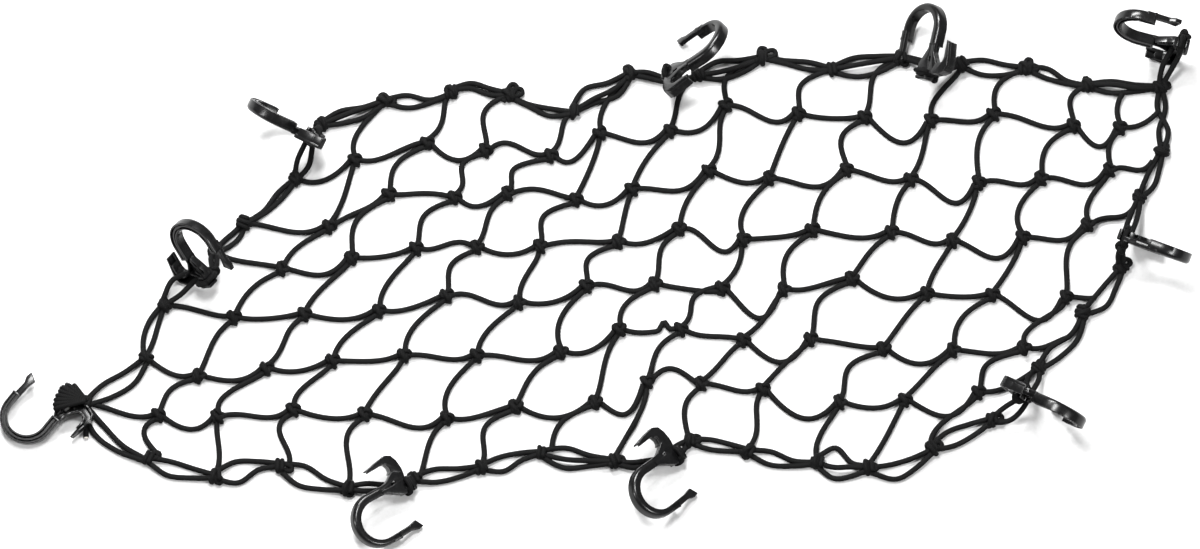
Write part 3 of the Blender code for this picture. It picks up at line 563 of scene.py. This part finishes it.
def column_strand(row, column):
    """The strand from this knot, or from the top edge for row 0, to the next one down its column."""
    sway = COLUMN_SWAYS[row][column - 1]
    if row == 0:
        begin = top_end(column) if column < COLUMNS else Vector(LAST_COLUMN_TOP)
        end, back = port(1, column, "up")
        share, lean = EDGE_LEANS["top"]
        leave, arrive = mix(share, end - begin, lean), -back
    elif row == ROWS:
        begin, leave = port(row, column, "down")
        end = Vector(BOTTOM_KNOTS[column - 1]) + Vector((COLUMN_FEET.get(column, 0), 2))
        share, lean = EDGE_LEANS["bottom"]
        arrive = mix(share, end - begin, lean)
    else:
        begin, leave = port(row, column, "down")
        end, back = port(row + 1, column, "up")
        arrive = -back
    return strand_route(begin, leave, end, arrive, sway, Vector((1, 0)))


def squared(wave, power):
    """A wave from -1 to 1, made fuller by a power below 1."""
    return copysign(abs(wave) ** power, wave)


def trefoil(centre, turn, reach, rise, mirrored=False, tilt=None):
    """Points of a closed three-lobed knot round a centre."""
    route = []
    for i in range(LOBE_POINTS):
        t = 2 * pi * i / LOBE_POINTS
        x = (sin(t) + 2 * sin(2 * t)) / 3 * reach
        y = (cos(t) - 2 * cos(2 * t)) / 3 * reach
        z = -sin(3 * t) * rise
        if mirrored:
            z = -z
        spot = Vector((x * cos(turn) - y * sin(turn), x * sin(turn) + y * cos(turn), z))
        if tilt:
            spot = tilt @ spot
        route.append(centre + spot)
    return route


def over_band(centre, across, half_width, top, low, bow):
    """Points of an arch of cord over a knot, from one side to the other."""
    side = across.normalized()
    ahead = Vector((-side.y, side.x, 0))
    route = []
    for i in range(BAND_POINTS):
        angle = pi * i / (BAND_POINTS - 1)
        out = -cos(angle) * half_width
        height = low + (top - low) * sin(angle) ** BAND_POWER
        route.append(centre + Vector((side.x * out, side.y * out, height)) + ahead * (bow * sin(angle)))
    return route


def net_skein():
    """The net's strands and its knots."""
    net = Skein()
    for row in range(1, ROWS + 1):
        for column in range(COLUMNS + 1):
            net.tube(row_strand(row, column), CORD / 2, STRAND_STEP)
    for column in range(1, COLUMNS + 1):
        for row in range(ROWS + 1):
            net.tube(column_strand(row, column), CORD / 2, STRAND_STEP)
    chance = random.Random(NET_SEED)
    for row in range(1, ROWS + 1):
        for column in range(1, COLUMNS + 1):
            here = net_knot(row, column)
            ways = knot_ways(row, column)
            back = here - row_neighbour(row, column)
            turn = atan2(back.y, back.x) * NET_TURN["share"] - radians(NET_TURN["less"])
            turn += chance.uniform(-NET_TURN["spread"], NET_TURN["spread"])
            centre = Vector((here.x, here.y, NET_LOBES["height"]))
            reach = chance.uniform(*NET_LOBES["reach"])
            mirrored = chance.random() < NET_LOBES["mirrored"]
            lobes = trefoil(centre, turn, reach, NET_LOBES["rise"], mirrored)
            net.tube(lobes, NET_LOBES["radius"], KNOT_STEP, closed=True)
            low = ways["low"]
            across = Vector((-low.y, low.x, 0))
            foot = Vector((here.x + low.x * NET_BAND["off"], here.y + low.y * NET_BAND["off"], 0))
            half_width = chance.uniform(*NET_BAND["half_width"])
            bow = chance.uniform(*NET_BAND["bow"])
            band = over_band(foot, across, half_width, NET_BAND["top"], NET_BAND["low"], bow)
            net.tube(band, TURN_RADIUS, KNOT_STEP)
    return net


def hook_matrix(name):
    """Turns hook measures into world millimetres."""
    place, heading, roll, lift = HOOKS[name]
    turn = Matrix.Rotation(radians(heading), 4, "Z")
    turn @= Matrix.Rotation(radians(-lift), 4, "Y")
    turn @= Matrix.Rotation(radians(roll), 4, "X")
    return Matrix.Translation(place) @ turn


def tie_place(name):
    """The binding knot beside a hook's neck, on the side nearest the surface."""
    place = hook_matrix(name)
    middle = sum(NECK_ACROSS) / 2
    sides = ((-TIE_REACH["across"], 0), (0, TIE_REACH["thick"]), (0, -TIE_REACH["thick"]))
    spots = [place @ Vector((BAND_MIDDLE, middle + across, thick)) for across, thick in sides]
    return min(spots, key=lambda spot: spot.z)


def stop_place(name):
    """Where the edge cord passes: an edge knot, or the binding knot of a hook."""
    if name.startswith("hook_"):
        spot = tie_place(name)
        spot.z = max(spot.z, TIE_HEIGHT)
        return spot
    tables = {"L": LEFT_KNOTS, "R": RIGHT_KNOTS, "T": TOP_KNOTS, "B": BOTTOM_KNOTS}
    number = int(name[1:])
    flat = tables[name[0]][number if name[0] in "LR" else number - 1]
    return Vector((flat[0], flat[1], EDGE_KNOT))


def edge_strands(skein, spans):
    """A tube for every strand of every span of the edge cord."""
    for start, end, *offsets in spans:
        a = stop_place(start)
        b = stop_place(end)
        third = THIRD_STRANDS.get((start, end))
        if third:
            offsets = [*offsets, third]
        chord = (b - a).to_2d()
        left = Vector((-chord.y, chord.x)).normalized()
        for number, (first, second) in enumerate(offsets):
            low = LOW_CORD + STRAND_LIFTS[number]
            route = [a + (left * (END_SHARE * first)).to_3d()]
            for share, off in ((1 / 3, first), (2 / 3, second)):
                spot = a.lerp(b, share)
                across = left * off
                height = max(low, spot.z) if "hook" in start + end else low
                route.append(Vector((spot.x + across.x, spot.y + across.y, height)))
            route.append(b + (left * (END_SHARE * second)).to_3d())
            skein.tube(route, CORD / 2, STRAND_STEP)


def edge_knot(skein, centre, way, chance, turns, ears):
    """A knot of the edge cord: turns round the strands, one turn across them, and loops that stand out."""
    way = Matrix.Rotation(chance.uniform(-EDGE_SLEW, EDGE_SLEW), 2) @ way.normalized()
    side = Vector((-way.y, way.x))
    reach = chance.uniform(*EDGE_TURNS["reach"])
    steps = int(turns * EDGE_POINTS)
    route = []
    for i in range(steps + 1):
        angle = 2 * pi * i / EDGE_POINTS + EDGE_TURNS["start"]
        shift = (i / steps - 0.5) * turns * EDGE_TURNS["pitch"]
        out = reach * squared(cos(angle), EDGE_POWER)
        height = EDGE_TURNS["height"] + EDGE_TURNS["rise"] * squared(sin(angle), EDGE_POWER)
        spot = centre.to_2d() + way * shift + side * out
        route.append(Vector((spot.x, spot.y, height)))
    skein.tube(route, TURN_RADIUS, KNOT_STEP)
    if turns > NARROW_TURNS:
        slant = (side + way * chance.uniform(-EDGE_BAND["slant"], EDGE_BAND["slant"])).to_3d()
        off = (way * chance.uniform(-EDGE_BAND["off"], EDGE_BAND["off"])).to_3d()
        foot = Vector((centre.x, centre.y, 0)) + off
        bow = chance.uniform(-EDGE_BAND["bow"], EDGE_BAND["bow"])
        band = over_band(foot, slant, reach + EDGE_BAND["wider"], EDGE_BAND["top"], EDGE_BAND["low"], bow)
        skein.tube(band, TURN_RADIUS, KNOT_STEP)
    for degrees, out, half_width in ears:
        ahead = Vector((cos(radians(degrees)), sin(radians(degrees))))
        ear(skein, centre, ahead, out, half_width)


def ear(skein, centre, ahead, reach, half_width):
    """A loop of cord that stands out from a knot."""
    side = Vector((-ahead.y, ahead.x))
    route = []
    for out, off in EAR_COURSE:
        spot = centre.to_2d() + ahead * (reach - CORD / 2) * out + side * half_width * off
        route.append(Vector((spot.x, spot.y, EAR["height"] - EAR["fall"] * out)))
    skein.tube(route, TURN_RADIUS, KNOT_STEP)


def lashing(skein, name, chance):
    """The cord wound round a hook's neck, and the binding knot beside it."""
    place = hook_matrix(name)
    middle = sum(NECK_ACROSS) / 2
    half = (NECK_ACROSS[1] - NECK_ACROSS[0]) / 2
    for first, last, out, turns, start in WRAPS:
        route = []
        steps = turns * WRAP_POINTS
        for i in range(steps + 1):
            angle = 2 * pi * (i / WRAP_POINTS + start)
            along = first + (last - first) * i / steps
            across = (half + out) * squared(cos(angle), WRAP_POWER)
            thick = (HOOK_THICK / 2 + out) * squared(sin(angle), WRAP_POWER)
            route.append(place @ Vector((along, middle + across, thick)))
        skein.tube(lifted(route), WRAP_RADIUS, KNOT_STEP)
    tie = stop_place(name)
    tilt = Matrix.Rotation(chance.uniform(-TIE_TILT, TIE_TILT), 3, "X")
    turn = chance.uniform(*TIE_LOBES["turn"])
    mirrored = chance.random() < TIE_LOBES["mirrored"]
    knot = trefoil(tie, turn, TIE_LOBES["reach"], TIE_LOBES["rise"], mirrored, tilt)
    skein.tube(lifted(knot), TIE_LOBES["radius"], KNOT_STEP, closed=True)
    neck = place @ Vector((BAND_MIDDLE, middle, 0))
    reach = (tie - neck).normalized()
    side = reach.cross(Vector((0, 0, 1))).normalized()
    loop = []
    for i in range(TIE_LOOP["points"]):
        angle = 2 * pi * i / TIE_LOOP["points"]
        sideways = side * (TIE_LOOP["half_width"] * cos(angle))
        upwards = Vector((0, 0, TIE_LOOP["half_height"] * sin(angle)))
        loop.append(tie + sideways + upwards - reach * TIE_LOOP["nearer"])
    skein.tube(lifted(loop), TIE_LOOP["radius"], KNOT_STEP, closed=True)


def cord_fan(skein, name):
    """Cords that spread from the binding over the hook's head and fold round its edge."""
    place = hook_matrix(name)
    root = Vector(CORD_FAN_ROOT)
    for tip in CORD_FAN_TIPS:
        reach = Vector(tip) - root
        route = []
        for share, thick in CORD_FAN_COURSE:
            spot = root + reach * share
            route.append(place @ Vector((spot.x, spot.y, thick)))
        skein.tube(route, CORD_FAN_RADIUS, KNOT_STEP)


def lifted(route):
    """The route with no point so low that its cord would go through the surface."""
    return [Vector((p.x, p.y, max(p.z, LOW_CORD))) for p in route]


def swept(section, stations):
    """Points and faces of a bar: the section (distance from the curve's middle, height) at each station.

    A station is (along, degrees, outer distance); the section is drawn for HOOK_OUTSIDE.
    """
    verts = []
    for along, degrees, outer in stations:
        way = radians(degrees)
        for distance, height in section:
            wider = (distance - HOOK_INSIDE) * (outer - HOOK_INSIDE)
            reach = HOOK_INSIDE + wider / (HOOK_OUTSIDE - HOOK_INSIDE)
            verts.append((along + reach * cos(way), reach * sin(way), height))
    count = len(section)
    faces = [tuple(range(count)), tuple(range(len(verts) - 1, len(verts) - 1 - count, -1))]
    for i in range(len(stations) - 1):
        for k in range(count):
            n = (k + 1) % count
            faces.append((i * count + k, i * count + n, (i + 1) * count + n, (i + 1) * count + k))
    return verts, faces


def slab(outline, low, high, rounding):
    """Points and faces of a flat plate with softened edges."""
    work = bmesh.new()
    floor = work.faces.new([work.verts.new((along, across, low)) for along, across in outline])
    grown = bmesh.ops.extrude_face_region(work, geom=[floor])["geom"]
    raised = [part for part in grown if isinstance(part, bmesh.types.BMVert)]
    bmesh.ops.translate(work, vec=(0, 0, high - low), verts=raised)
    bmesh.ops.recalc_face_normals(work, faces=work.faces)
    edges = work.edges[:]
    bmesh.ops.bevel(work, geom=edges, offset=rounding, segments=BEVEL_SEGMENTS, profile=0.5, affect="EDGES")
    work.verts.index_update()
    verts = [tuple(v.co) for v in work.verts]
    faces = [tuple(v.index for v in face.verts) for face in work.faces]
    work.free()
    return verts, faces


def wall(line, low):
    """Upright plates along a line of points, from this height to just below side A."""
    made = []
    for start, end in zip(line, line[1:]):
        a, b = Vector(start), Vector(end)
        ahead = (b - a).normalized() * (WALL_WIDTH / 2)
        side = Vector((-ahead.y, ahead.x))
        corners = (a - ahead - side, b + ahead - side, b + ahead + side, a - ahead + side)
        high = HOOK_THICK / 2 - WALL_TOP
        made.append(slab([tuple(p) for p in corners], low, high, ROUNDING["wall"]))
    return made


def oblong(along, across):
    """The corners of a rectangle between two places along it and two across it."""
    return [(along[0], across[0]), (along[1], across[0]), (along[1], across[1]), (along[0], across[1])]


def bar_section():
    """The bar's outline in (distance from the curve's middle, height): a channel on side B, a round back."""
    half = HOOK_THICK / 2
    inner = HOOK_INSIDE + RIM
    outer = HOOK_OUTSIDE - RIM
    return (
        (HOOK_INSIDE, -half + 0.4),
        (HOOK_INSIDE + 0.4, -half),
        (inner - 0.2, -half),
        (inner, -half + 0.3),
        (inner + 0.3, GROOVE),
        (inner + 1.3, GROOVE),
        (inner + 1.5, CHANNEL_FLOOR),
        (outer - 1.5, CHANNEL_FLOOR),
        (outer - 1.3, GROOVE),
        (outer - 0.3, GROOVE),
        (outer, -half + 0.3),
        (outer + 0.2, -half),
        (HOOK_OUTSIDE - 0.5, -half),
        (HOOK_OUTSIDE, -half + 0.5),
        (HOOK_OUTSIDE, 1.6),
        (HOOK_OUTSIDE - 0.35, 2.9),
        (HOOK_OUTSIDE - 1.2, 4.1),
        (HOOK_OUTSIDE - 2.4, 4.8),
        (HOOK_OUTSIDE - 3.6, half),
        (HOOK_INSIDE + 1.1, half),
        (HOOK_INSIDE + 0.3, half - 0.3),
        (HOOK_INSIDE, half - 1.1),
    )


def hook_parts():
    """The plates, walls and bars that make up a hook, in its own plane."""
    half = HOOK_THICK / 2
    stations = [(ARM_STEP - ARM_LAP, 270, ARM_OUTSIDE)]
    for i in range(CURVE_STEPS + 1):
        outer = ARM_OUTSIDE + (HOOK_OUTSIDE - ARM_OUTSIDE) * i / CURVE_STEPS
        stations.append((0, 270 - 180 * i / CURVE_STEPS, outer))
    stations.append((BAR_END, 90, HOOK_OUTSIDE))
    parts = [swept(bar_section(), stations)]
    arm_end = [(ARM_STEP + along, across) for along, across in ARM_END]
    parts.append(slab(arm_end, -half, half, ROUNDING["end"]))
    arm = ((ARM_ROOT, -HOOK_INSIDE), (ARM_ROOT, -ARM_OUTSIDE), *ARM_TIP)
    parts.append(slab(arm, ARM_BLADE, half, ROUNDING["arm"]))
    parts.append(slab(oblong(SHANK_END, (HOOK_INSIDE, HOOK_OUTSIDE)), -half, half, ROUNDING["end"]))
    for number, plate in enumerate(FAN):
        less = PLATE_STEP * number
        parts.append(slab(plate, FAN_LOW + less, half - less, ROUNDING["fan"]))
    for line, low in FAN_WALLS:
        parts += wall(line, low)
    parts.append(slab(oblong(NECK_ALONG, NECK_ACROSS), -half, half, ROUNDING["neck"]))
    parts.append(slab(HEAD, -half, half, ROUNDING["head"]))
    parts.append(slab(CLAW, CLAW_LOW, half, ROUNDING["claw"]))
    for line in CLAW_WALLS:
        parts += wall(line, -half)
    return parts


def hook_mesh():
    """One hook in metres: its bars, plates and walls as closed shells that run into each other."""
    verts = []
    faces = []
    for some_verts, some_faces in hook_parts():
        start = len(verts)
        verts += some_verts
        faces += [tuple(start + i for i in face) for face in some_faces]
    mesh = bpy.data.meshes.new("hook_fine")
    mesh.from_pydata(verts, [], faces)
    work = bmesh.new()
    work.from_mesh(mesh)
    bmesh.ops.recalc_face_normals(work, faces=work.faces)
    work.to_mesh(mesh)
    work.free()
    mesh.transform(Matrix.Scale(MM, 4))
    mesh.shade_smooth()
    mesh.set_sharp_from_angle(angle=radians(SHARP_EDGE))
    return mesh


class Look:
    """A new material, with short ways to feed its shader."""

    def __init__(self, name):
        self.material = bpy.data.materials.new(name)
        self.material.use_nodes = True
        self.tree = self.material.node_tree
        self.inputs = self.tree.nodes["Principled BSDF"].inputs

    def add(self, kind, **values):
        node = self.tree.nodes.new(kind)
        for key, value in values.items():
            setattr(node, key, value)
        return node

    def feed(self, sockets, values):
        """Gives each socket a number or a node's output."""
        for key, value in values.items():
            if isinstance(value, (int, float)):
                sockets[key].default_value = value
            else:
                self.tree.links.new(value, sockets[key])

    def math(self, operation, *inputs):
        """A Math node of this operation; each input is a number or a node's output."""
        node = self.add("ShaderNodeMath", operation=operation)
        self.feed(node.inputs, dict(enumerate(inputs)))
        return node.outputs[0]

    def ramp(self, value, stops):
        """A colour ramp of two stops, (place, grey) or (place, colour)."""
        node = self.add("ShaderNodeValToRGB")
        self.feed(node.inputs, {0: value})
        for element, (place, colour) in zip(node.color_ramp.elements, stops):
            element.position = place
            element.color = (colour, colour, colour, 1) if isinstance(colour, float) else (*colour, 1)
        return node.outputs[0]

    def noise(self, scale, **inputs):
        """A noise texture in the piece's own coordinates."""
        node = self.add("ShaderNodeTexNoise")
        where = self.add("ShaderNodeTexCoord").outputs["Object"]
        self.feed(node.inputs, {"Vector": where, "Scale": scale, **inputs})
        return node.outputs[0]

    def bump(self, height, strength, distance):
        """A surface that looks raised where the height is greater."""
        node = self.add("ShaderNodeBump")
        self.feed(node.inputs, {"Height": height, "Strength": strength, "Distance": distance})
        return node.outputs[0]


def cord_material():
    """A braided sheath: strands that cross on a slant, a little fuzz, and a soft sheen. The colour is painted
    darker in the grooves between the braid's strands, as painted shade.
    """
    look = Look("braided_cord")
    split = look.add("ShaderNodeSeparateXYZ")
    look.feed(split.inputs, {0: look.add("ShaderNodeUVMap", uv_map="cord").outputs[0]})
    round_it = look.math("MULTIPLY", split.outputs[1], BRAID_STRANDS)
    along = look.math("DIVIDE", split.outputs[0], pi * CORD / BRAID_STRANDS)
    waves = []
    for operation in ("ADD", "SUBTRACT"):
        slant = look.math(operation, round_it, along)
        waves.append(look.math("SINE", look.math("MULTIPLY", slant, pi)))
    braid_and_groove_shade = look.math("ABSOLUTE", look.math("MULTIPLY", *waves))
    fuzz = look.noise(FUZZ_SCALE, Detail=3)
    # The braid's pattern also sets the colour, darker in the grooves between its strands: painted shade.
    parts = {"braid_and_groove_shade": braid_and_groove_shade, "fuzz": fuzz, "patches": look.noise(PATCH_SCALE)}
    shade = 0.0
    for key, share in CORD_SHADES.items():
        shade = look.math("ADD", shade, look.math("MULTIPLY", parts[key], share))
    height = look.math("ADD", braid_and_groove_shade, look.math("MULTIPLY", fuzz, FUZZ_HEIGHT))
    values = {
        "Base Color": look.ramp(shade, CORD_COLOURS),
        "Roughness": look.ramp(fuzz, CORD_ROUGHNESS),
        "Normal": look.bump(height, 0.55, 0.0004),
        "Specular IOR Level": 0.07,
        "Sheen Weight": 0.004,
        "Sheen Roughness": 0.45,
    }
    look.feed(look.inputs, values)
    return look.material


def plastic_material():
    """Moulded black plastic: glossy, with a faint unevenness from the mould and fine scuffs."""
    look = Look("moulded_plastic")
    scuffs = look.noise(SCUFF_SCALE, Detail=6, Distortion=1.5)
    values = {
        "Base Color": look.ramp(scuffs, PLASTIC_COLOURS),
        "Roughness": look.ramp(scuffs, PLASTIC_ROUGHNESS),
        "Normal": look.bump(look.noise(RIPPLE_SCALE), 0.02, 0.0005),
        "Specular IOR Level": 0.24,
    }
    look.feed(look.inputs, values)
    return look.material


def plain_material(name, colour, roughness):
    """A nearly even surface with a trace of mottling."""
    look = Look(name)
    dark = tuple(MOTTLING_SHADE * c for c in colour)
    mottled = look.ramp(look.noise(MOTTLING_SCALE), ((0.3, dark), (0.7, colour)))
    look.feed(look.inputs, {"Base Color": mottled, "Roughness": roughness})
    return look.material


def dress(piece, slot, *nodes):
    """The piece rides on the one body and stands for these nodes."""
    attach(piece, "root")
    if nodes:
        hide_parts(*nodes)


def world_place(name):
    """A hook's place in the frame, for a mesh in metres."""
    place = hook_matrix(name)
    place.translation = (place.translation - CENTRE) * MM
    return place


def make_floor():
    """A wide, pale, matt surface."""
    mesh = bpy.data.meshes.new("floor")
    reach = (-FLOOR_REACH, FLOOR_REACH)
    mesh.from_pydata([(x, y, 0) for x, y in oblong(reach, reach)], [], [(0, 1, 2, 3)])
    mesh.materials.append(plain_material("pale_floor", FLOOR_COLOUR, 0.9))
    floor = placed("floor", mesh)
    floor.location.z = -FLOOR_DROP


def make_light(name, place, size, power):
    """A rectangular lamp that looks at the middle of the object."""
    data = bpy.data.lights.new(name, "AREA")
    data.shape = "RECTANGLE"
    data.size, data.size_y = size
    data.energy = power
    light = placed(name, data)
    light.location = place
    light.rotation_mode = "QUATERNION"
    light.rotation_quaternion = (-Vector(place)).to_track_quat("-Z", "Y")


def make_camera():
    """The photograph's view: from well above, through a long lens."""
    data = bpy.data.cameras.new("camera")
    data.sensor_width = SENSOR
    data.lens = LENS
    data.clip_end = FARTHEST
    distance = PHOTO_WIDTH * PIXEL * MM * LENS / SENSOR
    rise = radians(CAMERA_RISE)
    camera = placed("camera", data)
    camera.location = Vector((0, -cos(rise), sin(rise))) * distance - CENTRE * MM
    camera.rotation_euler = (radians(90 - CAMERA_RISE), 0, 0)
    bpy.context.scene.camera = camera


def make_world():
    """A white studio."""
    world = bpy.data.worlds.new("studio")
    world.use_nodes = True
    background = world.node_tree.nodes["Background"]
    background.inputs["Strength"].default_value = WORLD_STRENGTH
    background.inputs["Color"].default_value = (1.0, 1.0, 1.0, 1.0)
    bpy.context.scene.world = world
    bpy.context.scene.view_settings.view_transform = "Standard"


def knots_of(letter, count):
    return [f"{letter}{number}" for number in range(1, count + 1)]


def way_through(knot, spans):
    """Which way the edge cord goes through a knot, from the stops on both sides, or on the one it has."""
    stops = [stop_place(b if a == knot else a) for a, b, *_ in spans if knot in (a, b)]
    return (stops[0] - (stops[1] if len(stops) > 1 else stop_place(knot))).to_2d()


make_camera()
make_floor()
make_world()
for light in LIGHTS:
    make_light(*light)

cord = cord_material()
net = net_skein().piece("net_fine", cord)
dress(net, "cord", "net_mesh")

# Each length of the edge cord: its spans, its knots in the order that they are tied, and its hooks.
EDGES = {
    "border_top": (TOP_SPANS, ["L0", *knots_of("T", 12), "R0"], ("hook_3", "hook_4", "hook_5", "hook_6")),
    "border_bottom": (BOTTOM_SPANS, ["L6", *knots_of("B", 13), "R6"], ("hook_1", "hook_9", "hook_10")),
    "border_left": (LEFT_SPANS, knots_of("L", 5), ("hook_2",)),
    "border_right": (RIGHT_SPANS, knots_of("R", 5), ("hook_7", "hook_8")),
}
chance = random.Random(EDGE_SEED)
for name, (spans, knot_names, hooks) in EDGES.items():
    skein = Skein()
    edge_strands(skein, spans)
    for knot in knot_names:
        turns = NARROW_TURNS if knot in NARROW_KNOTS else chance.uniform(*EDGE_TURNS["number"])
        edge_knot(skein, stop_place(knot), way_through(knot, spans), chance, turns, EARS.get(knot, ()))
    for hook in hooks:
        lashing(skein, hook, chance)
        if hook == "hook_1":
            cord_fan(skein, hook)
    if name == "border_bottom":
        skein.tube([Vector((*place, height)) for place, height in LOOSE_END], CORD / 2, STRAND_STEP)
    dress(skein.piece(name.replace("border", "edge"), cord), "cord", name)

tip = Skein()
(end_place, end_height), (before_place, before_height) = LOOSE_END[-1], LOOSE_END[-2]
end = Vector((*end_place, end_height))
ahead = (end - Vector((*before_place, before_height))).normalized()
tip.tube([end + ahead * spot for spot in TIP_SPOTS], TIP_RADIUS, TIP_STEP)
dress(tip.piece("cord_tip", plain_material("frayed_core", TIP_COLOUR, 0.8)), "cord")

plastic = plastic_material()
shared = hook_mesh()
for name in HOOKS:
    mesh = shared.copy()
    mesh.transform(world_place(name))
    lowest = min(spot.co.z for spot in mesh.vertices)
    mesh.transform(Matrix.Translation((0, 0, max(-lowest, 0))))  # no tip goes through the surface
    mesh.materials.append(plastic)
    dress(placed(name + "_fine", mesh), "hook_plastic", name)
